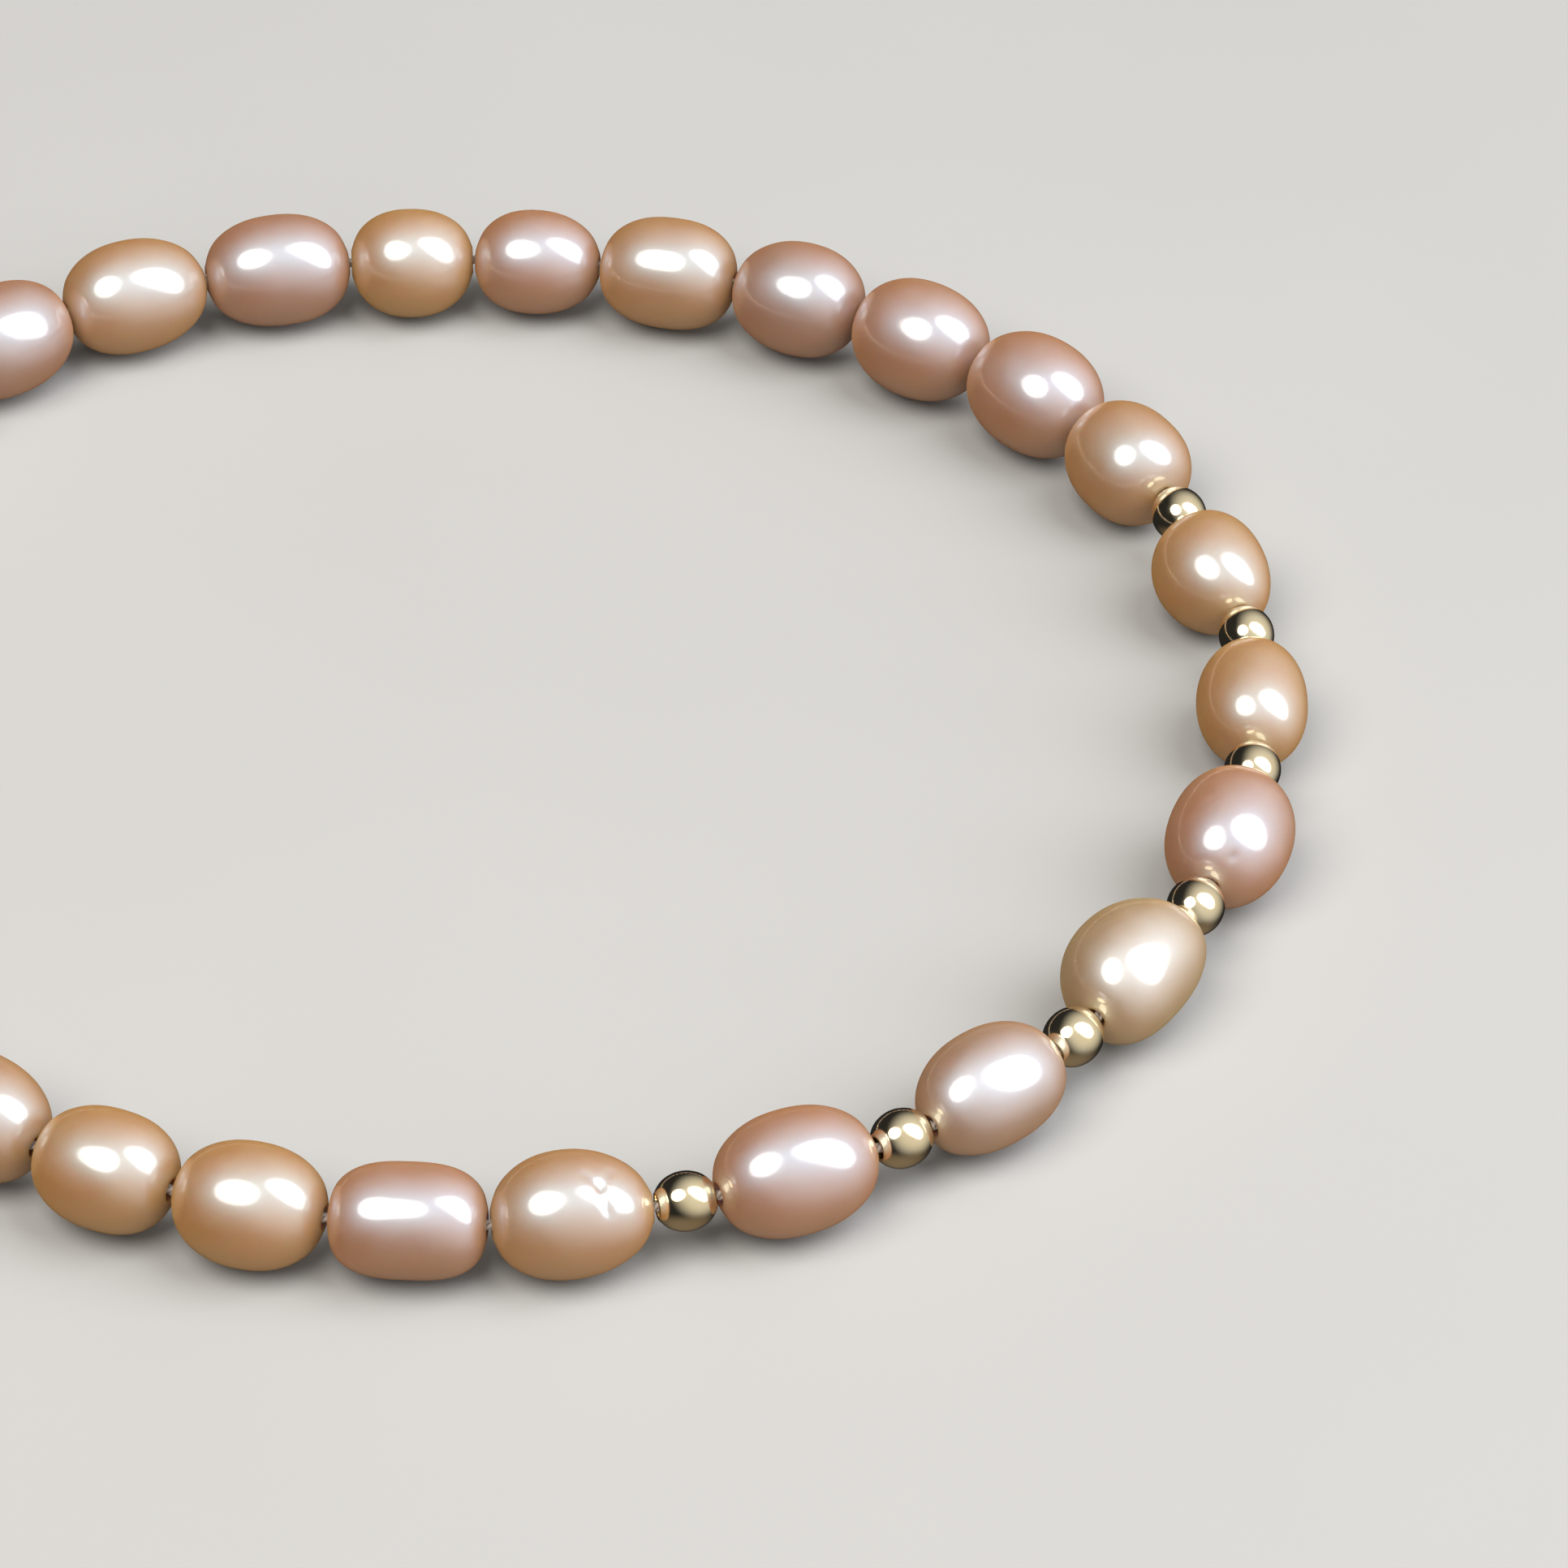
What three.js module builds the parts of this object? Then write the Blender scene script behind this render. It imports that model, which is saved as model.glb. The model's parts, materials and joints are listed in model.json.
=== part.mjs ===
// A bracelet of oval pearls strung on one thread, with small round gold beads
// between the pearls at its middle and a barrel clasp opposite them.
// It lies flat in a closed loop. Millimetres, +Z up. The origin is on the surface
// that it rests on, under the middle of the loop.
import * as THREE from "three";

// Pearls
const pearlLength = 5.5;
const pearlWidth = 4.5;
const pearlBore = 0.8;
const pearlRim = 0.1;
const pearlSides = 14;
const pearlBands = 8;

// Gold beads
const goldBeadCount = 7;
const goldBeadLength = 2.05;
const goldBeadWidth = 2.1;
const goldBeadFullness = 2;
const goldBeadBore = 0.8;
const goldBeadRim = 0.08;
const goldBeadSides = 12;
const goldBeadBands = 6;

// Clasp
const claspLength = 7;
const claspWidth = 3.2;
const claspFullness = 3.4;
const claspSocket = 0.9;
const claspSocketDepth = 1.6;
const claspRim = 0.25;
const claspSides = 16;
const claspBands = 8;

// Thread
const threadWidth = 0.4;
const threadSides = 6;
const threadStepsPerBead = 2;
const threadEndClearance = 0.3;

// Free length of thread between two neighbours on the string
const beadGap = 0.14;

// Places closer than this count as the same
const samePlace = 1e-4;

// Route of the string seen from above: clockwise from the middle of the clasp,
// round the middle of the loop. It is stretched evenly to the length of the strung beads.
const routePoints = [
  { x: -27.0, y: 12.8 },
  { x: -16.7, y: 23.5 },
  { x: -2.3, y: 27.1 },
  { x: 12.2, y: 24.6 },
  { x: 24.3, y: 15.6 },
  { x: 29.7, y: 2.1 },
  { x: 26.5, y: -12.5 },
  { x: 16.5, y: -23.3 },
  { x: 2.3, y: -27.7 },
  { x: -12.3, y: -24.8 },
  { x: -23.8, y: -15.4 },
  { x: -29.4, y: -1.7 },
];
const routeDivisions = 1200;

// The pearls in stringing order from the clasp.
// length and width: shares of pearlLength and pearlWidth.
// fullness: 2 is an ellipse, and more is blunter, towards a barrel.
// taper: share of half the length by which the widest place lies towards the next bead.
// belly: share of pearlWidth by which the body bulges to the inside of the loop off its bore.
const pearlTable = [
  { length: 1.0, width: 0.98, fullness: 2.3, taper: 0.02, belly: 0.01, tint: "peach" },
  { length: 1.0, width: 1.0, fullness: 2.3, taper: -0.03, belly: 0.0, tint: "mauve" },
  { length: 1.05, width: 1.01, fullness: 2.2, taper: -0.05, belly: -0.01, tint: "peach" },
  { length: 1.05, width: 1.0, fullness: 2.3, taper: 0.02, belly: -0.01, tint: "mauve" },
  { length: 0.89, width: 0.98, fullness: 2.2, taper: -0.02, belly: 0.03, tint: "golden" },
  { length: 0.91, width: 0.94, fullness: 2.2, taper: -0.06, belly: -0.01, tint: "rose" },
  { length: 1.0, width: 1.0, fullness: 2.4, taper: 0.02, belly: -0.02, tint: "peach" },
  { length: 0.97, width: 1.02, fullness: 2.2, taper: 0.04, belly: -0.01, tint: "mauve" },
  { length: 1.01, width: 1.05, fullness: 2.2, taper: 0.0, belly: 0.01, tint: "rose" },
  { length: 1.02, width: 1.05, fullness: 2.2, taper: 0.02, belly: -0.01, tint: "rose" },
  { length: 0.92, width: 1.01, fullness: 2.3, taper: 0.05, belly: 0.0, tint: "peach" },
  { length: 0.93, width: 0.98, fullness: 2.1, taper: -0.04, belly: 0.05, tint: "golden" },
  { length: 1.0, width: 0.93, fullness: 2.2, taper: 0.05, belly: 0.02, tint: "golden" },
  { length: 1.03, width: 1.03, fullness: 2.2, taper: -0.04, belly: -0.01, tint: "rose" },
  { length: 1.06, width: 1.03, fullness: 2.2, taper: 0.04, belly: 0.08, tint: "cream" },
  { length: 1.02, width: 0.95, fullness: 2.2, taper: -0.03, belly: 0.03, tint: "cream" },
  { length: 1.05, width: 0.99, fullness: 2.2, taper: 0.02, belly: 0.01, tint: "rose" },
  { length: 1.01, width: 1.0, fullness: 2.1, taper: 0.06, belly: 0.02, tint: "peach" },
  { length: 0.99, width: 0.91, fullness: 2.8, taper: 0.0, belly: 0.01, tint: "rose" },
  { length: 0.97, width: 0.99, fullness: 2.2, taper: 0.0, belly: -0.01, tint: "golden" },
  { length: 0.93, width: 0.96, fullness: 2.3, taper: -0.04, belly: 0.0, tint: "golden" },
  { length: 1.0, width: 1.0, fullness: 2.3, taper: 0.04, belly: 0.01, tint: "peach" },
  { length: 1.02, width: 0.97, fullness: 2.3, taper: -0.03, belly: -0.01, tint: "rose" },
  { length: 0.98, width: 1.01, fullness: 2.4, taper: 0.03, belly: 0.02, tint: "peach" },
  { length: 1.01, width: 0.98, fullness: 2.2, taper: -0.04, belly: 0.01, tint: "golden" },
  { length: 0.97, width: 1.0, fullness: 2.3, taper: 0.02, belly: -0.02, tint: "mauve" },
  { length: 1.03, width: 1.01, fullness: 2.3, taper: 0.05, belly: 0.01, tint: "peach" },
  { length: 0.99, width: 0.98, fullness: 2.3, taper: -0.02, belly: 0.0, tint: "rose" },
];

const pearlColours = {
  peach: "#dda27c",
  rose: "#d69c8c",
  golden: "#cf9c66",
  cream: "#dcc6b0",
  mauve: "#c99b98",
};

function pearlMaterial(tint) {
  return new THREE.MeshStandardMaterial({ color: pearlColours[tint], roughness: 0.22, metalness: 0 });
}

function goldMaterial() {
  return new THREE.MeshStandardMaterial({ color: "#d8bf83", roughness: 0.12, metalness: 1 });
}

function threadMaterial() {
  return new THREE.MeshStandardMaterial({ color: "#ead9cc", roughness: 0.6, metalness: 0 });
}

// Flank of a bead as a superellipse from one flat end rim to the other, as points of
// radius and place along the bore. The ends are cut where the radius meets endRadius.
function flankProfile({ length, width, fullness, taper, endRadius, bands }) {
  const power = 2 / fullness;
  const endAngle = Math.acos((endRadius / (width / 2)) ** (1 / power));
  const endReach = Math.sin(endAngle) ** power;
  const points = [];
  for (let band = 0; band <= bands; band += 1) {
    const angle = endAngle * ((2 * band) / bands - 1);
    const reach = (Math.sign(angle) * Math.abs(Math.sin(angle)) ** power) / endReach;
    const radius = (width / 2) * Math.cos(angle) ** power;
    const along = (length / 2) * (reach + taper * (1 - reach ** 2));
    points.push(new THREE.Vector2(radius, along));
  }
  return points;
}

// A bead drilled from end to end. Its bore lies along the geometry's Y axis.
function drilledBead(shape, bore, rim, sides, bands) {
  const flank = flankProfile({ ...shape, endRadius: bore / 2 + rim, bands });
  const profile = [
    ...flank,
    new THREE.Vector2(bore / 2, shape.length / 2),
    new THREE.Vector2(bore / 2, -shape.length / 2),
    flank[0].clone(),
  ];
  return new THREE.LatheGeometry(profile, sides);
}

// Bulges the body sideways along X, most at its middle, and leaves the bore and the rims.
function bulge(geometry, { length, bore, offset }) {
  const place = geometry.getAttribute("position");
  for (let i = 0; i < place.count; i += 1) {
    const isBore = Math.hypot(place.getX(i), place.getZ(i)) < bore / 2 + samePlace;
    const reach = Math.min(1, Math.abs(place.getY(i)) / (length / 2));
    if (!isBore) place.setX(i, place.getX(i) + offset * (1 - reach ** 2));
  }
  return geometry;
}

function makePearl(row, number) {
  const length = row.length * pearlLength;
  const width = row.width * pearlWidth;
  const shape = { length, width, fullness: row.fullness, taper: row.taper };
  const body = drilledBead(shape, pearlBore, pearlRim, pearlSides, pearlBands);
  const geometry = bulge(body, { length, bore: pearlBore, offset: row.belly * pearlWidth });
  const mesh = new THREE.Mesh(geometry, pearlMaterial(row.tint));
  mesh.name = `pearl_${String(number).padStart(2, "0")}`;
  return { mesh, length, restHeight: width / 2 };
}

function makeGoldBead(number) {
  const shape = { length: goldBeadLength, width: goldBeadWidth, fullness: goldBeadFullness, taper: 0 };
  const geometry = drilledBead(shape, goldBeadBore, goldBeadRim, goldBeadSides, goldBeadBands);
  const mesh = new THREE.Mesh(geometry, goldMaterial());
  mesh.name = `gold_bead_${number}`;
  return { mesh, length: goldBeadLength };
}

// A barrel with a blind socket in each end for an end of the thread.
function makeClasp() {
  const shape = { length: claspLength, width: claspWidth, fullness: claspFullness, taper: 0 };
  const flank = flankProfile({ ...shape, endRadius: claspSocket / 2 + claspRim, bands: claspBands });
  const end = claspLength / 2;
  const floor = end - claspSocketDepth;
  const profile = [
    new THREE.Vector2(0, -floor),
    new THREE.Vector2(claspSocket / 2, -floor),
    new THREE.Vector2(claspSocket / 2, -end),
    ...flank,
    new THREE.Vector2(claspSocket / 2, end),
    new THREE.Vector2(claspSocket / 2, floor),
    new THREE.Vector2(0, floor),
  ];
  const mesh = new THREE.Mesh(new THREE.LatheGeometry(profile, claspSides), goldMaterial());
  mesh.name = "clasp";
  return { mesh, length: claspLength };
}

// Stringing order: the clasp, then the pearls, with the gold beads between the middle ones.
function makeString() {
  const beads = [makeClasp()];
  const goldReach = (goldBeadCount - 1) / 2;
  let goldNumber = 0;
  pearlTable.forEach((row, index) => {
    const pearlsStrung = index + 1;
    beads.push(makePearl(row, pearlsStrung));
    if (Math.abs(pearlsStrung - pearlTable.length / 2) <= goldReach) {
      goldNumber += 1;
      beads.push(makeGoldBead(goldNumber));
    }
  });
  return beads;
}

// The pearls rest on the surface. What is smaller hangs on the thread between its neighbours.
function settleHeights(beads) {
  const count = beads.length;
  beads.forEach((bead, i) => {
    const before = beads[(i - 1 + count) % count].restHeight;
    const after = beads[(i + 1) % count].restHeight;
    bead.height = bead.restHeight ?? (before + after) / 2;
  });
}

// Where the thread passes from each bead to the next, on the route.
function findJoins(beads) {
  const stringLength = beads.reduce((sum, bead) => sum + bead.length + beadGap, 0);
  const corners = routePoints.map(({ x, y }) => new THREE.Vector3(x, y, 0));
  const route = new THREE.CatmullRomCurve3(corners, true);
  route.arcLengthDivisions = routeDivisions;
  const stretch = stringLength / route.getLength();
  const joins = [];
  let along = -(beads[0].length + beadGap) / 2;
  beads.forEach((bead, i) => {
    const previous = beads[(i - 1 + beads.length) % beads.length];
    const share = THREE.MathUtils.euclideanModulo(along / stringLength, 1);
    const join = route.getPointAt(share).multiplyScalar(stretch);
    join.z = (previous.height + bead.height) / 2;
    joins.push(join);
    along += bead.length + beadGap;
  });
  return joins;
}

// Lays a bead's bore on the line between its two joins, with its X axis to the inside
// of the loop and one of its long edges straight down.
function layBead(bead, start, end) {
  const along = end.clone().sub(start).normalize();
  const inward = new THREE.Vector3(along.y, -along.x, 0).normalize();
  const across = new THREE.Vector3().crossVectors(inward, along);
  const turn = new THREE.Matrix4().makeBasis(inward, along, across);
  bead.along = along;
  bead.mesh.quaternion.setFromRotationMatrix(turn);
  bead.mesh.position.addVectors(start, end).multiplyScalar(0.5);
}

// The thread runs from one socket of the clasp through every bead to the other socket.
function makeThread(beads, joins) {
  const [clasp, ...strung] = beads;
  const reach = claspLength / 2 - claspSocketDepth + threadEndClearance;
  const middle = clasp.mesh.position;
  const points = [middle.clone().addScaledVector(clasp.along, reach), joins[1]];
  strung.forEach((bead, i) => {
    points.push(bead.mesh.position, joins[(i + 2) % joins.length]);
  });
  points.push(middle.clone().addScaledVector(clasp.along, -reach));
  const section = new THREE.Shape();
  for (let side = 0; side < threadSides; side += 1) {
    const angle = (side / threadSides) * 2 * Math.PI;
    const x = (threadWidth / 2) * Math.cos(angle);
    const y = (threadWidth / 2) * Math.sin(angle);
    if (side === 0) section.moveTo(x, y);
    else section.lineTo(x, y);
  }
  const path = new THREE.CatmullRomCurve3(points);
  path.arcLengthDivisions = routeDivisions;
  const steps = threadStepsPerBead * beads.length;
  const geometry = new THREE.ExtrudeGeometry(section, { extrudePath: path, steps, bevelEnabled: false });
  const mesh = new THREE.Mesh(geometry, threadMaterial());
  mesh.name = "thread";
  return mesh;
}

const beads = makeString();
settleHeights(beads);
const joins = findJoins(beads);
beads.forEach((bead, i) => layBead(bead, joins[i], joins[(i + 1) % joins.length]));

const loop = new THREE.Group();
loop.add(...beads.map((bead) => bead.mesh), makeThread(beads, joins));

// The middle of the loop's outline goes over the origin, and its lowest pearl onto z = 0.
const outline = new THREE.Box3().setFromObject(loop, true);
const middle = outline.getCenter(new THREE.Vector3());
loop.position.set(-middle.x, -middle.y, -outline.min.z);

const bracelet = new THREE.Group();
bracelet.add(loop);

export default bracelet;
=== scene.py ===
# The looks of a bracelet of oval freshwater pearls and small gold beads on one thread,
# lying in a closed loop. Lengths are in metres, and MM turns millimetres into them.
import json
import math

import bmesh
import bpy
import numpy as np
from mathutils import Matrix, Vector, noise


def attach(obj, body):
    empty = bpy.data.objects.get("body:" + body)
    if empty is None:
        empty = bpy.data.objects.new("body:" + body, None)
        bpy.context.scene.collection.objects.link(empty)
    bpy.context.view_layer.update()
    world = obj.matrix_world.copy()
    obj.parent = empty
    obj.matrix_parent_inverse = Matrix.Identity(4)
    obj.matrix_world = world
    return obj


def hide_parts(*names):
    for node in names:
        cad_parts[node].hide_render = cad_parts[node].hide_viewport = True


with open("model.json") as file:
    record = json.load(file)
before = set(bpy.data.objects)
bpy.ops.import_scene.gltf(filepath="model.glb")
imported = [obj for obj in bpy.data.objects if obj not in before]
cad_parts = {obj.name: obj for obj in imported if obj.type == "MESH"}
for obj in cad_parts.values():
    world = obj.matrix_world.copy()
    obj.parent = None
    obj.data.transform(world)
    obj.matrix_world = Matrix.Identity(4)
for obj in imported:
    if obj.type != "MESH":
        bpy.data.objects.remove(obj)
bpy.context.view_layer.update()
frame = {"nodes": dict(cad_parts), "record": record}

MM = 0.001

# The string: its pearls, and its gold beads, one after each of the middle pearls
PEARL_COUNT = 28
GOLD_BEAD_COUNT = 7

# Camera at the photograph's place. It looks at a point of the surface under the loop.
CAMERA_TARGET = Vector((12.0, -2.2, 0.0)) * MM
CAMERA_DISTANCE = 241.4 * MM
CAMERA_ELEVATION = math.radians(41.5)
CAMERA_FIELD = math.radians(13.81)
CAMERA_CLIP = (5 * MM, 20.0)

# Two soft lights. Azimuth is measured from the camera, towards its right.
LIGHTS = {
    "key_right": {
        "azimuth": 80, "elevation": 45, "distance": 0.57,
        "width": 0.42, "height": 0.80, "watts": 3.25, "colour": (0.93, 0.96, 1.0),
    },
    "key_left": {
        "azimuth": -42, "elevation": 61, "distance": 0.6,
        "width": 0.46, "height": 0.46, "watts": 2.9, "colour": (1.0, 0.96, 0.90),
    },
}

# The room that the gloss reflects: dark, with a soft glow round the right light and a dim warm
# one below. Each share is eased between two cosines of the angle from its direction.
ROOM_DARK = (0.02, 0.02, 0.022)
ROOM_GLOWS = [
    {"azimuth": 76, "elevation": 42, "from": -0.1, "to": 0.9, "colour": (0.72, 0.70, 0.67)},
    {"azimuth": 0, "elevation": -65, "from": 0.45, "to": 1.0, "colour": (0.19, 0.15, 0.11)},
]

# Floor, faintly clouded
FLOOR_SIZE = 6.0
FLOOR_COLOUR = (0.44, 0.435, 0.425)
FLOOR_PALER = 1.03
FLOOR_CLOUDS = 30 * MM
FLOOR_ROUGHNESS = 0.85

# Reading a bead's rings from its solid
SAME_PLACE_DIGITS = 7
SAME_PLACE = 0.0001 * MM
END_DEPTH = 0.12 * MM
RING_GAP = 0.05 * MM
END_GAP = 0.05 * MM
HOLE_TOLERANCE = 0.05 * MM
AXIS_ROUNDS = 4

# Fine meshes
PEARL_SIDES = 96
PEARL_ROWS = 60
GOLD_SIDES = 64
GOLD_ROWS = 36
CLASP_SIDES = 96
CLASP_ROWS = 140
RIM_ROWS = 4

# Drilled holes: radius of the rounded edge
PEARL_EDGE = 0.06 * MM
GOLD_EDGE = 0.05 * MM
CLASP_EDGE = 0.12 * MM


def string_order():
    """Node names in stringing order, from the clasp."""
    order = ["clasp"]
    first = (PEARL_COUNT - GOLD_BEAD_COUNT + 1) // 2
    for number in range(1, PEARL_COUNT + 1):
        order.append(f"pearl_{number:02d}")
        gold = number - first + 1
        if 1 <= gold <= GOLD_BEAD_COUNT:
            order.append(f"gold_bead_{gold}")
    return order


def node_places(name):
    """The places of a CAD node's vertices, each once."""
    mesh = frame["nodes"][name].data
    places = np.zeros(len(mesh.vertices) * 3)
    mesh.vertices.foreach_get("co", places)
    return np.unique(places.reshape(-1, 3).round(SAME_PLACE_DIGITS), axis=0)


def unit(vector):
    return vector / np.linalg.norm(vector)


def read_bead(name, before, after):
    """A bead's hole, rings and place, from its node.

    Before and after are the middles of its neighbours. The hole's floor is its inmost ring,
    which is an end of the bead where the hole goes right through.
    """
    places = node_places(name)
    middle = places.mean(0)
    along = unit(after - before)
    for _ in range(AXIS_ROUNDS):
        reach = (places - middle) @ along
        far = places[reach > reach.max() - END_DEPTH].mean(0)
        near = places[reach < reach.min() + END_DEPTH].mean(0)
        along = unit(far - near)
        middle = (far + near) / 2
    inward = unit(np.array([along[1], -along[0], 0.0]))
    across = np.cross(inward, along)
    local = (places - middle) @ np.stack([inward, along, across], axis=1)
    length = np.linalg.norm(far - near)
    radii = np.hypot(local[:, 0], local[:, 2])
    bore = radii[np.abs(local[:, 1]) > length / 2 - END_GAP].min()
    flank = local[radii > bore + HOLE_TOLERANCE]
    hole = local[np.abs(radii - bore) < HOLE_TOLERANCE]
    flank = flank[np.argsort(flank[:, 1])]
    rings = []
    for ring in np.split(flank, np.nonzero(np.diff(flank[:, 1]) > RING_GAP)[0] + 1):
        offset = ring[:, 0].mean()
        radius = np.hypot(ring[:, 0] - offset, ring[:, 2]).mean()
        rings.append((ring[:, 1].mean(), radius, offset))
    turn = Matrix([list(row) for row in np.stack([inward, along, across], axis=1)]).to_4x4()
    return {
        "name": name,
        "middle": middle,
        "near": near,
        "far": far,
        "length": length,
        "bore": bore,
        "floor": np.abs(hole[:, 1]).min(),
        "rings": np.array(rings),
        "matrix": Matrix.Translation(middle) @ turn,
    }


def natural_spline(knots, values, places):
    """Values at the given places of the natural cubic spline through the knots."""
    gaps = np.diff(knots)
    slopes = np.diff(values) / gaps
    count = len(knots)
    system = np.eye(count)
    right = np.zeros(count)
    for i in range(1, count - 1):
        system[i, i - 1 : i + 2] = gaps[i - 1], 2 * (gaps[i - 1] + gaps[i]), gaps[i]
        right[i] = 6 * (slopes[i] - slopes[i - 1])
    bends = np.linalg.solve(system, right)
    left = np.clip(np.searchsorted(knots, places) - 1, 0, count - 2)
    gap = gaps[left]
    low = (knots[left + 1] - places) / gap
    high = (places - knots[left]) / gap
    straight = low * values[left] + high * values[left + 1]
    curved = (low**3 - low) * bends[left] + (high**3 - high) * bends[left + 1]
    return straight + curved * gap**2 / 6


def smooth_flank(bead, rows):
    """The flank from end to end as rows of (along, radius, offset, normal along, normal out)."""
    rings = bead["rings"]
    steps = np.hypot(np.diff(rings[:, 0]), np.diff(rings[:, 1]))
    knots = np.concatenate([[0], np.cumsum(steps)])
    places = np.linspace(0, knots[-1], rows)
    along, radius, offset = (natural_spline(knots, rings[:, i], places) for i in range(3))
    run = np.gradient(along)
    rise = np.gradient(radius)
    size = np.hypot(run, rise)
    return np.stack([along, radius, offset, -rise / size, run / size], axis=1)


def rounded_end(end, bore, edge, sign):
    """Rows from a flat end into the bore, round an edge of that radius. Sign is 1 at the far end."""
    angles = np.linspace(0, math.pi / 2, RIM_ROWS + 1)
    along = end - sign * edge * (1 - np.cos(angles))
    radius = bore + edge * (1 - np.sin(angles))
    return np.stack([along, radius, np.zeros_like(along)], axis=1)


def revolve(name, rows, sides, closed, shift=None):
    """A mesh swept round the bore from rows of (along, radius, offset). Shift moves each vertex."""
    turns = np.linspace(0, 2 * math.pi, sides, endpoint=False)
    along, radius, offset = (rows[:, i, None] for i in range(3))
    grid = np.stack(
        np.broadcast_arrays(offset + radius * np.sin(turns), along, radius * np.cos(turns)), axis=2
    )
    if shift is not None:
        grid = grid + shift(grid, turns)
    count = len(rows)
    last = count if closed else count - 1
    row = np.arange(last)[:, None]
    side = np.arange(sides)[None, :]
    above = (row + 1) % count * sides
    here = row * sides
    next_side = (side + 1) % sides
    faces = np.stack([here + side, here + next_side, above + next_side, above + side], axis=2)
    mesh = bpy.data.meshes.new(name)
    mesh.from_pydata(grid.reshape(-1, 3).tolist(), [], faces.reshape(-1, 4).tolist())
    mesh.validate()
    mesh.shade_smooth()
    return mesh


def merge_close(mesh):
    """Joins the vertices that lie together on the axis."""
    joined = bmesh.new()
    joined.from_mesh(mesh)
    bmesh.ops.remove_doubles(joined, verts=joined.verts, dist=SAME_PLACE)
    joined.to_mesh(mesh)
    joined.free()


def add_piece(name, mesh, matrix, material, nodes):
    """Puts a piece in place of its CAD nodes, on the bracelet's one body."""
    piece = bpy.data.objects.new(name, mesh)
    bpy.context.scene.collection.objects.link(piece)
    piece.matrix_world = matrix
    mesh.materials.append(material)
    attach(piece, "root")
    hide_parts(*nodes)
    return piece


# Natural unevenness of a pearl: waves of the surface as wavelength and depth. They only go
# inwards, fade towards the ends by a power of the share of the way there, and are read from
# another place of the noise for each pearl.
PEARL_WAVES = [(2.6 * MM, 0.024 * MM), (1.1 * MM, 0.005 * MM)]
WAVES_FADE = 6
NOISE_STEP = Vector((7.3, 0, 3.1))

# A dimple in one pearl, and grooves in the skin of another. Each runs between two places, given
# as millimetres along the bore and degrees round it, from the top towards the middle of the loop.
WRINKLES = {
    "pearl_14": [
        {"from": (2.30, -31), "to": (2.38, -31), "width": 0.15 * MM, "depth": 0.07 * MM},
    ],
    "pearl_18": [
        {"from": (-1.0, -20), "to": (-1.15, -46), "width": 0.15 * MM, "depth": 0.05 * MM},
        {"from": (-1.0, -20), "to": (-1.4, 0), "width": 0.15 * MM, "depth": 0.045 * MM},
        {"from": (-1.0, -20), "to": (-0.5, -6), "width": 0.15 * MM, "depth": 0.045 * MM},
    ],
}


def groove_depth(points, surface, groove):
    """How deep each point lies in a groove whose two ends are looked up on the surface."""
    start, end = (surface(*groove[key]) for key in ("from", "to"))
    line = end - start
    share = np.clip((points - start) @ line / (line @ line), 0, 1)
    distance = np.linalg.norm(points - start - share[..., None] * line, axis=-1)
    return groove["depth"] * np.exp(-((distance / groove["width"]) ** 2))


def pearl_mesh(bead, number):
    flank = smooth_flank(bead, PEARL_ROWS)
    half = bead["length"] / 2
    top = rounded_end(half, bead["bore"], PEARL_EDGE, 1)
    bottom = rounded_end(-half, bead["bore"], PEARL_EDGE, -1)[::-1]
    rows = np.concatenate([flank[:, :3], top, bottom])

    def surface(along_mm, degrees):
        place = np.interp(along_mm * MM, flank[:, 0], np.arange(PEARL_ROWS))
        radius = np.interp(place, np.arange(PEARL_ROWS), flank[:, 1])
        angle = math.radians(degrees)
        return np.array([radius * math.sin(angle), along_mm * MM, radius * math.cos(angle)])

    def shift(grid, turns):
        depth = np.zeros(grid.shape[:2])
        for wavelength, height in PEARL_WAVES:
            for i in range(PEARL_ROWS):
                for j in range(len(turns)):
                    place = Vector(grid[i, j]) / wavelength + number * NOISE_STEP
                    depth[i, j] += height * (0.5 + 0.5 * noise.noise(place))
        for groove in WRINKLES.get(bead["name"], []):
            depth[:PEARL_ROWS] += groove_depth(grid[:PEARL_ROWS], surface, groove)
        calm = 1 - np.clip(np.abs(flank[:, 0]) / half, 0, 1) ** WAVES_FADE
        depth[:PEARL_ROWS] *= calm[:, None]
        depth[PEARL_ROWS:] = 0
        normals = np.zeros_like(grid)
        normals[:PEARL_ROWS, :, 0] = flank[:, 4, None] * np.sin(turns)
        normals[:PEARL_ROWS, :, 1] = flank[:, 3, None]
        normals[:PEARL_ROWS, :, 2] = flank[:, 4, None] * np.cos(turns)
        return -normals * depth[:, :, None]

    return revolve(bead["name"] + "_nacre", rows, PEARL_SIDES, True, shift)


def gold_bead_mesh(bead):
    flank = smooth_flank(bead, GOLD_ROWS)
    half = bead["length"] / 2
    top = rounded_end(half, bead["bore"], GOLD_EDGE, 1)
    bottom = rounded_end(-half, bead["bore"], GOLD_EDGE, -1)[::-1]
    rows = np.concatenate([flank[:, :3], top, bottom])
    return revolve(bead["name"] + "_polished", rows, GOLD_SIDES, True)


# Clasp: a fine seam round its middle, where its two halves meet, between two turned lines
SEAM_DEPTH = 0.09 * MM
SEAM_WIDTH = 0.07 * MM
TURNED_LINES = [-0.75 * MM, 0.75 * MM]
TURNED_DEPTH = 0.05 * MM
TURNED_WIDTH = 0.08 * MM


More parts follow.
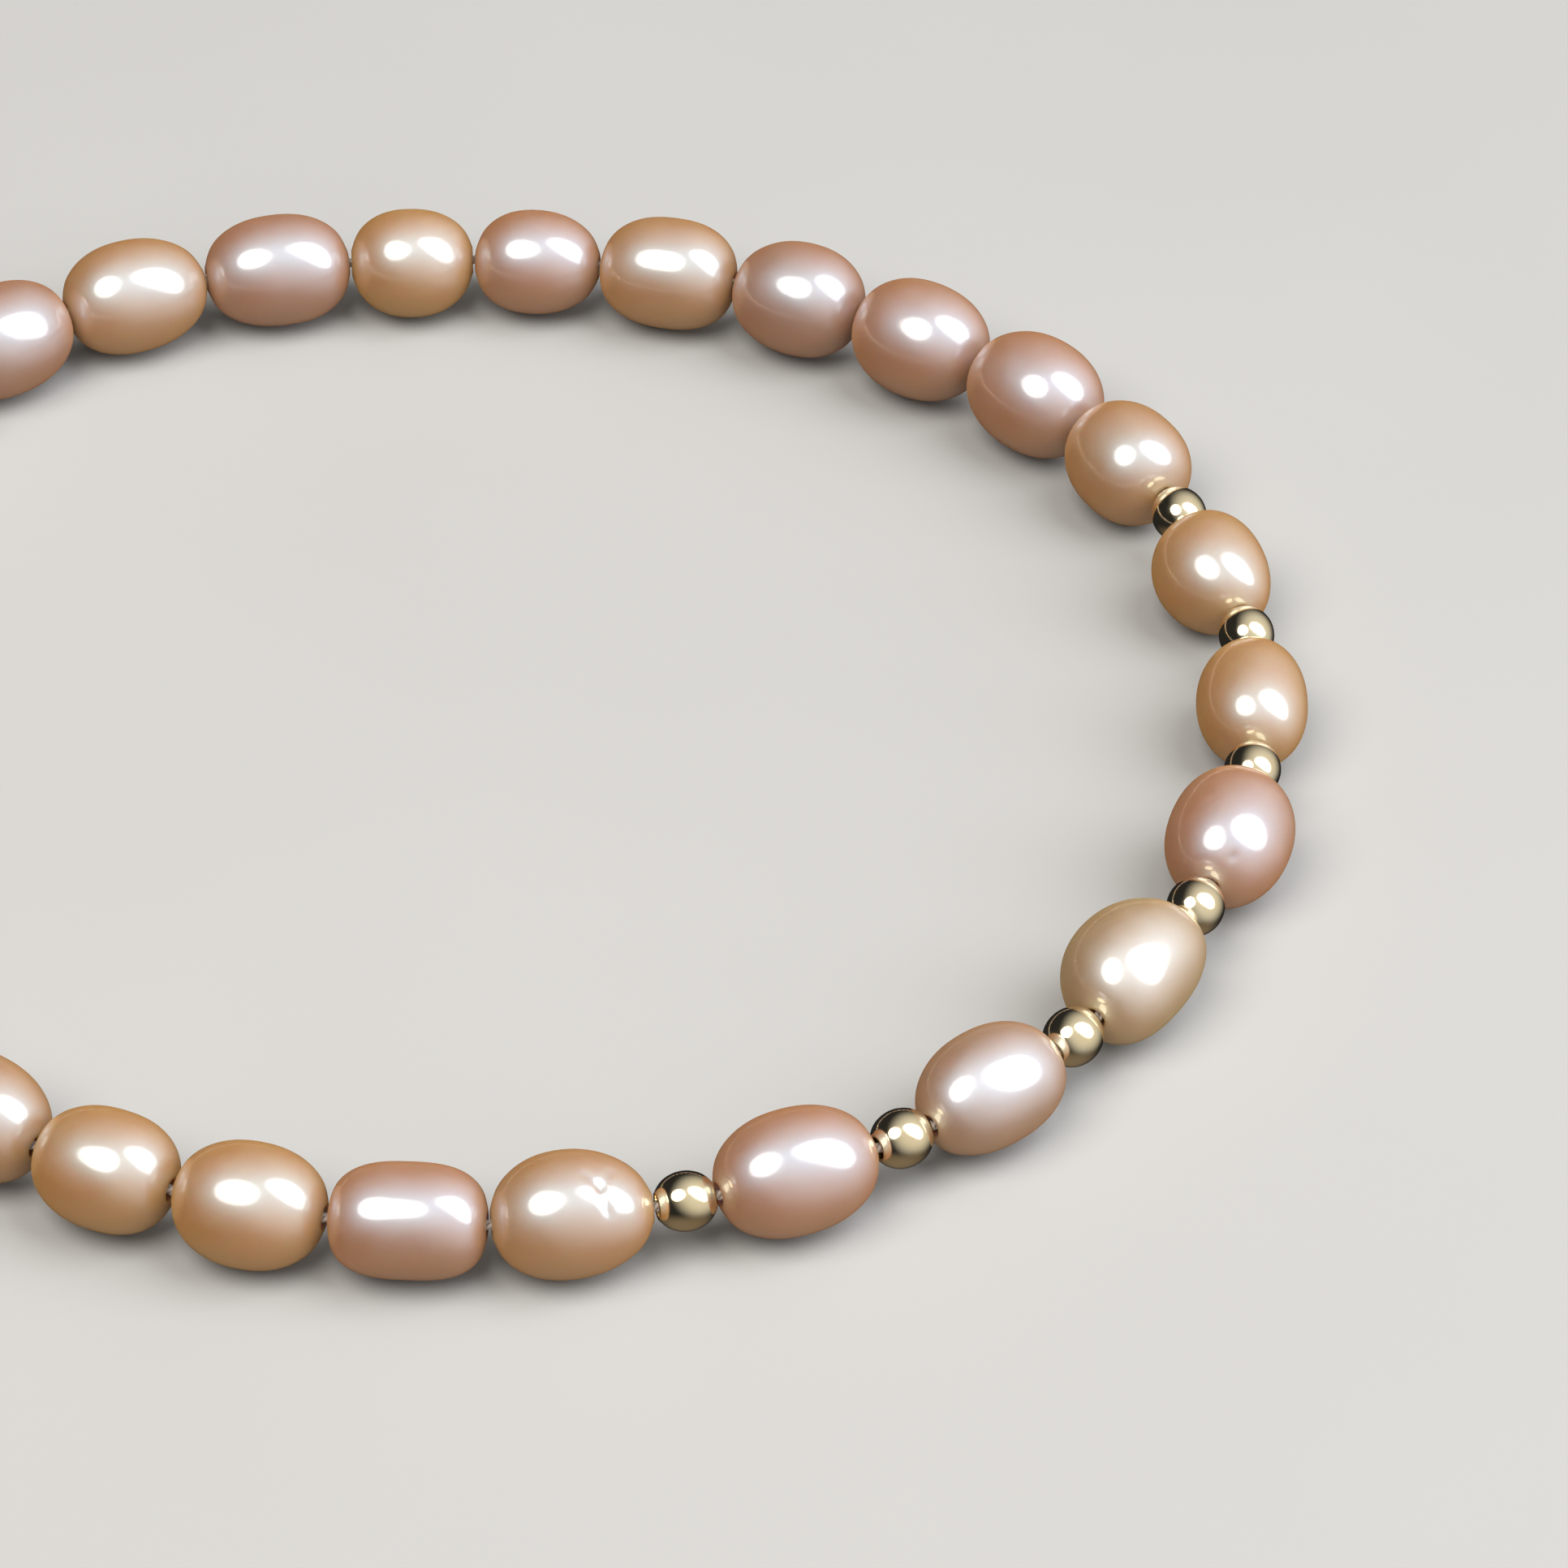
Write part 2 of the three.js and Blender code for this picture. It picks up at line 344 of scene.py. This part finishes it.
def clasp_mesh(bead):
    flank = smooth_flank(bead, CLASP_ROWS)[:, :3]
    cuts = [(0.0, SEAM_DEPTH, SEAM_WIDTH)] + [(at, TURNED_DEPTH, TURNED_WIDTH) for at in TURNED_LINES]
    for at, depth, width in cuts:
        flank[:, 1] -= depth * np.exp(-(((flank[:, 0] - at) / width) ** 2))
    half = bead["length"] / 2
    top = rounded_end(half, bead["bore"], CLASP_EDGE, 1)
    socket = np.array([[bead["floor"], bead["bore"], 0], [bead["floor"], 0, 0]])
    side = np.concatenate([flank, top, socket])
    other = np.concatenate([top, socket])[::-1] * [-1, 1, 1]
    mesh = revolve("clasp_barrel", np.concatenate([other, side]), CLASP_SIDES, False)
    merge_close(mesh)
    return mesh


def new_material(name):
    material = bpy.data.materials.new(name)
    material.use_nodes = True
    tree = material.node_tree
    tree.nodes.clear()
    output = tree.nodes.new("ShaderNodeOutputMaterial")
    shader = tree.nodes.new("ShaderNodeBsdfPrincipled")
    tree.links.new(shader.outputs["BSDF"], output.inputs["Surface"])
    return material, tree, shader


# Nearly all of a noise texture's values lie between these
NOISE_LOW = 0.3
NOISE_HIGH = 0.7


def noise_value(tree, wavelength, detail=2.0, shift=(0, 0, 0)):
    """Output of a noise texture on the piece's own coordinates, at that wavelength."""
    coordinates = tree.nodes.new("ShaderNodeTexCoord")
    mapping = tree.nodes.new("ShaderNodeMapping")
    mapping.inputs["Location"].default_value = shift
    mapping.inputs["Scale"].default_value = [1 / wavelength] * 3
    texture = tree.nodes.new("ShaderNodeTexNoise")
    texture.inputs["Scale"].default_value = 1.0
    texture.inputs["Detail"].default_value = detail
    tree.links.new(coordinates.outputs["Object"], mapping.inputs["Vector"])
    tree.links.new(mapping.outputs["Vector"], texture.inputs["Vector"])
    return texture.outputs["Fac"]


def between(tree, value, low, high):
    """Maps the middle of a noise value onto a range."""
    node = tree.nodes.new("ShaderNodeMapRange")
    node.inputs["From Min"].default_value = NOISE_LOW
    node.inputs["From Max"].default_value = NOISE_HIGH
    node.inputs["To Min"].default_value = low
    node.inputs["To Max"].default_value = high
    tree.links.new(value, node.inputs["Value"])
    return node.outputs["Result"]


def mixed_colour(tree, share, first, second):
    node = tree.nodes.new("ShaderNodeMix")
    node.data_type = "RGBA"
    tree.links.new(share, node.inputs["Factor"])
    for socket, colour in ((node.inputs[6], first), (node.inputs[7], second)):
        if isinstance(colour, tuple):
            socket.default_value = (*colour, 1)
        else:
            tree.links.new(colour, socket)
    return node.outputs[2]


def add_bump(tree, shader, height, distance):
    bump = tree.nodes.new("ShaderNodeBump")
    bump.inputs["Strength"].default_value = 1.0
    bump.inputs["Distance"].default_value = distance
    tree.links.new(height, bump.inputs["Height"])
    tree.links.new(bump.outputs["Normal"], shader.inputs["Normal"])


# Nacre: the body colour of each tint, the blush that clouds it, the satin shimmer over it
# and the warm rim. A tint under a pearl's own name comes before that of its slot.
NACRE_TINTS = {
    "pearl_peach": {
        "body": (0.55, 0.215, 0.010), "blush": (0.53, 0.24, 0.035),
        "satin": (0.42, 0.88, 1.14), "rim": (1.0, 0.45, 0.07),
    },
    "pearl_rose": {
        "body": (0.52, 0.185, 0.012), "blush": (0.49, 0.205, 0.05),
        "satin": (0.45, 0.86, 1.18), "rim": (1.0, 0.42, 0.10),
    },
    "pearl_golden": {
        "body": (0.55, 0.215, 0.010), "blush": (0.53, 0.24, 0.025),
        "satin": (0.40, 0.84, 1.06), "rim": (1.0, 0.48, 0.07),
    },
    "pearl_cream": {
        "body": (0.46, 0.225, 0.035), "blush": (0.45, 0.25, 0.08),
        "satin": (0.80, 1.06, 1.24), "rim": (1.0, 0.66, 0.22),
    },
    "pearl_mauve": {
        "body": (0.47, 0.160, 0.018), "blush": (0.44, 0.18, 0.05),
        "satin": (0.52, 0.92, 1.20), "rim": (1.0, 0.42, 0.12),
    },
    "pearl_16": {
        "body": (0.47, 0.200, 0.024), "blush": (0.45, 0.22, 0.07),
        "satin": (0.74, 1.08, 1.38), "rim": (1.0, 0.46, 0.11),
    },
}
NACRE_IOR = 4.2
NACRE_ROUGHNESS = (0.52, 0.58)
NACRE_TRANSLUCENCE = 1.0
NACRE_DEPTH = 1.2 * MM
NACRE_SCATTER = (1.0, 0.55, 0.35)
RIM_WEIGHT = 0.32
RIM_ROUGHNESS = 0.65
COAT_IOR = 2.1
COAT_ROUGHNESS = 0.145
COAT_TINT = (1.0, 0.97, 0.94)
NACRE_CLOUDS = 2.4 * MM
NACRE_MOTTLE = 0.5 * MM
MOTTLE_SHARE = 0.25
NACRE_GLOSS_CLOUDS = 0.8 * MM
NACRE_GRAIN = 0.12 * MM
NACRE_GRAIN_HEIGHT = 0.0012 * MM


def nacre_material(name, tint, number):
    material, tree, shader = new_material(name)
    clouds = between(tree, noise_value(tree, NACRE_CLOUDS, 2.0, (number, 0, 0)), 0.0, 1.0)
    mottle = between(tree, noise_value(tree, NACRE_MOTTLE, 3.0, (0, number, 0)), 0.0, MOTTLE_SHARE)
    colour = mixed_colour(tree, clouds, tint["body"], tint["blush"])
    colour = mixed_colour(tree, mottle, colour, tint["blush"])
    tree.links.new(colour, shader.inputs["Base Color"])
    gloss_clouds = noise_value(tree, NACRE_GLOSS_CLOUDS, 2.0, (0, 0, number))
    tree.links.new(between(tree, gloss_clouds, *NACRE_ROUGHNESS), shader.inputs["Roughness"])
    shader.inputs["IOR"].default_value = NACRE_IOR
    shader.inputs["Specular Tint"].default_value = (*tint["satin"], 1)
    shader.inputs["Subsurface Weight"].default_value = NACRE_TRANSLUCENCE
    shader.inputs["Subsurface Radius"].default_value = NACRE_SCATTER
    shader.inputs["Subsurface Scale"].default_value = NACRE_DEPTH
    shader.inputs["Sheen Weight"].default_value = RIM_WEIGHT
    shader.inputs["Sheen Roughness"].default_value = RIM_ROUGHNESS
    shader.inputs["Sheen Tint"].default_value = (*tint["rim"], 1)
    shader.inputs["Coat Weight"].default_value = 1.0
    shader.inputs["Coat IOR"].default_value = COAT_IOR
    shader.inputs["Coat Roughness"].default_value = COAT_ROUGHNESS
    shader.inputs["Coat Tint"].default_value = (*COAT_TINT, 1)
    add_bump(tree, shader, noise_value(tree, NACRE_GRAIN, 3.0), NACRE_GRAIN_HEIGHT)
    return material


# Gold: its colour and the paler colour that clouds it, with the range of its roughness
GOLD_COLOUR = (0.95, 0.80, 0.50)
GOLD_PALE = (0.97, 0.86, 0.62)
GOLD_ROUGHNESS = (0.10, 0.16)
CLASP_ROUGHNESS = (0.10, 0.20)
GOLD_CLOUDS = 1.2 * MM
GOLD_GLOSS_CLOUDS = 0.4 * MM
GOLD_GRAIN = 0.15 * MM
GOLD_GRAIN_HEIGHT = 0.0006 * MM


def gold_material(name, roughness):
    material, tree, shader = new_material(name)
    clouds = between(tree, noise_value(tree, GOLD_CLOUDS), 0.0, 1.0)
    tree.links.new(mixed_colour(tree, clouds, GOLD_COLOUR, GOLD_PALE), shader.inputs["Base Color"])
    gloss_clouds = noise_value(tree, GOLD_GLOSS_CLOUDS)
    tree.links.new(between(tree, gloss_clouds, *roughness), shader.inputs["Roughness"])
    shader.inputs["Metallic"].default_value = 1.0
    add_bump(tree, shader, noise_value(tree, GOLD_GRAIN, 4.0), GOLD_GRAIN_HEIGHT)
    return material


# Thread fibres
THREAD_LIGHT = (0.86, 0.76, 0.68)
THREAD_DARK = (0.70, 0.56, 0.48)
THREAD_ROUGHNESS = (0.55, 0.75)
THREAD_STREAKS = 0.08 * MM
THREAD_STREAK_HEIGHT = 0.01 * MM


def thread_material():
    material, tree, shader = new_material("thread_fibre")
    streaks = between(tree, noise_value(tree, THREAD_STREAKS, 3.0), 0.0, 1.0)
    tree.links.new(mixed_colour(tree, streaks, THREAD_DARK, THREAD_LIGHT), shader.inputs["Base Color"])
    tree.links.new(between(tree, streaks, *THREAD_ROUGHNESS), shader.inputs["Roughness"])
    add_bump(tree, shader, streaks, THREAD_STREAK_HEIGHT)
    return material


# Thread: three strands laid round its middle line. It ends in the sockets of the clasp.
THREAD_RADIUS = 0.2 * MM
CLASP_THREAD_REACH = 2.2 * MM
THREAD_STRANDS = 3
THREAD_STRAND_RADIUS = 0.464 * THREAD_RADIUS
THREAD_STRAND_SIDES = 6
THREAD_LAY = 1.3 * MM
THREAD_STEP = 0.13 * MM


def thread_line(beads):
    """Points along the thread's middle line, close enough together for its twist."""
    clasp, *strung = beads
    along = unit(clasp["far"] - clasp["near"])
    start, end = (clasp["middle"] + sign * along * CLASP_THREAD_REACH for sign in (1, -1))
    knots = [start]
    for bead, other in zip(beads, beads[1:] + beads[:1]):
        if bead is not clasp:
            knots.append(bead["middle"])
        knots.append((bead["far"] + other["near"]) / 2)
    knots.append(end)
    knots = np.array(knots)
    chords = np.concatenate([[0], np.cumsum(np.linalg.norm(np.diff(knots, axis=0), axis=1))])
    places = np.arange(0, chords[-1], THREAD_STEP)
    return np.stack([natural_spline(chords, knots[:, i], places) for i in range(3)], axis=1)


def thread_mesh(beads):
    line = thread_line(beads)
    ahead = np.gradient(line, axis=0)
    ahead /= np.linalg.norm(ahead, axis=1)[:, None]
    side = np.cross(ahead, [0, 0, 1.0])
    side /= np.linalg.norm(side, axis=1)[:, None]
    up = np.cross(side, ahead)
    strand = THREAD_STRAND_RADIUS
    orbit = THREAD_RADIUS - strand
    vertices, faces = [], []
    travelled = np.arange(len(line)) * THREAD_STEP
    for number in range(THREAD_STRANDS):
        turn = 2 * math.pi * (travelled / THREAD_LAY + number / THREAD_STRANDS)
        middle = line + orbit * (np.cos(turn)[:, None] * side + np.sin(turn)[:, None] * up)
        first = len(vertices)
        for i in range(len(line)):
            for k in range(THREAD_STRAND_SIDES):
                angle = turn[i] + 2 * math.pi * k / THREAD_STRAND_SIDES
                outward = math.cos(angle) * side[i] + math.sin(angle) * up[i]
                vertices.append(middle[i] + strand * outward)
        for i in range(len(line) - 1):
            for k in range(THREAD_STRAND_SIDES):
                a = first + i * THREAD_STRAND_SIDES + k
                b = first + i * THREAD_STRAND_SIDES + (k + 1) % THREAD_STRAND_SIDES
                faces.append((b, a, a + THREAD_STRAND_SIDES, b + THREAD_STRAND_SIDES))
        faces.append(tuple(first + k for k in range(THREAD_STRAND_SIDES)))
        final = first + (len(line) - 1) * THREAD_STRAND_SIDES
        faces.append(tuple(final + k for k in reversed(range(THREAD_STRAND_SIDES))))
    mesh = bpy.data.meshes.new("twisted_thread")
    mesh.from_pydata([tuple(v) for v in vertices], [], faces)
    mesh.validate()
    mesh.shade_smooth()
    return mesh


def make_camera():
    data = bpy.data.cameras.new("photo_camera")
    data.sensor_fit = "HORIZONTAL"
    data.angle = CAMERA_FIELD
    data.clip_start, data.clip_end = CAMERA_CLIP
    camera = bpy.data.objects.new("photo_camera", data)
    bpy.context.scene.collection.objects.link(camera)
    back = Vector((0, -math.cos(CAMERA_ELEVATION), math.sin(CAMERA_ELEVATION)))
    camera.location = CAMERA_TARGET + back * CAMERA_DISTANCE
    camera.rotation_euler = (-back).to_track_quat("-Z", "Y").to_euler()
    bpy.context.scene.camera = camera


def direction(facts):
    """Unit vector towards an azimuth and elevation in degrees."""
    azimuth = math.radians(facts["azimuth"])
    elevation = math.radians(facts["elevation"])
    level = math.cos(elevation)
    return Vector((math.sin(azimuth) * level, -math.cos(azimuth) * level, math.sin(elevation)))


def make_room():
    world = bpy.data.worlds.new("room")
    world.use_nodes = True
    tree = world.node_tree
    coordinates = tree.nodes.new("ShaderNodeTexCoord")
    colour = ROOM_DARK
    for glow in ROOM_GLOWS:
        product = tree.nodes.new("ShaderNodeVectorMath")
        product.operation = "DOT_PRODUCT"
        product.inputs[1].default_value = direction(glow)
        tree.links.new(coordinates.outputs["Generated"], product.inputs[0])
        ease = tree.nodes.new("ShaderNodeMapRange")
        ease.interpolation_type = "SMOOTHSTEP"
        ease.inputs["From Min"].default_value = glow["from"]
        ease.inputs["From Max"].default_value = glow["to"]
        tree.links.new(product.outputs["Value"], ease.inputs["Value"])
        colour = mixed_colour(tree, ease.outputs["Result"], colour, glow["colour"])
    tree.links.new(colour, tree.nodes["Background"].inputs["Color"])
    bpy.context.scene.world = world


def make_lights():
    for name, facts in LIGHTS.items():
        towards = direction(facts)
        data = bpy.data.lights.new(name, "AREA")
        data.shape = "ELLIPSE"
        data.size = facts["width"]
        data.size_y = facts["height"]
        data.energy = facts["watts"]
        data.color = facts["colour"]
        light = bpy.data.objects.new(name, data)
        bpy.context.scene.collection.objects.link(light)
        light.location = towards * facts["distance"]
        light.rotation_euler = (-towards).to_track_quat("-Z", "Y").to_euler()


def make_floor():
    half = FLOOR_SIZE / 2
    mesh = bpy.data.meshes.new("floor")
    corners = [(-half, -half, 0), (half, -half, 0), (half, half, 0), (-half, half, 0)]
    mesh.from_pydata(corners, [], [(0, 1, 2, 3)])
    floor = bpy.data.objects.new("floor", mesh)
    bpy.context.scene.collection.objects.link(floor)
    material, tree, shader = new_material("pale_floor")
    paler = tuple(value * FLOOR_PALER for value in FLOOR_COLOUR)
    clouds = between(tree, noise_value(tree, FLOOR_CLOUDS, 3.0), 0.0, 1.0)
    tree.links.new(mixed_colour(tree, clouds, FLOOR_COLOUR, paler), shader.inputs["Base Color"])
    shader.inputs["Roughness"].default_value = FLOOR_ROUGHNESS
    mesh.materials.append(material)
    floor.visible_glossy = False


def make_bracelet():
    order = string_order()
    middles = {name: node_places(name).mean(0) for name in order}
    slots = {row["node"]: row["material_slot"] for row in frame["record"]["subparts"]}
    beads = []
    for i, name in enumerate(order):
        before, after = order[i - 1], order[(i + 1) % len(order)]
        beads.append(read_bead(name, middles[before], middles[after]))
    gold = gold_material("gold_polished", GOLD_ROUGHNESS)
    clasp_gold = gold_material("clasp_gold", CLASP_ROUGHNESS)
    for bead in beads:
        name = bead["name"]
        if name == "clasp":
            add_piece("clasp_barrel", clasp_mesh(bead), bead["matrix"], clasp_gold, [name])
        elif name.startswith("gold_bead"):
            piece_name = name + "_polished"
            add_piece(piece_name, gold_bead_mesh(bead), bead["matrix"], gold, [name])
        else:
            number = int(name.split("_")[1])
            tint = NACRE_TINTS.get(name, NACRE_TINTS[slots[name]])
            material = nacre_material(name + "_nacre", tint, number)
            mesh = pearl_mesh(bead, number)
            add_piece(name + "_nacre", mesh, bead["matrix"], material, [name])
    thread = thread_mesh(beads)
    fibre = thread_material()
    add_piece("twisted_thread", thread, Matrix.Identity(4), fibre, ["thread"])


make_camera()
make_lights()
make_room()
make_floor()
make_bracelet()
bpy.context.scene.view_settings.view_transform = "Standard"
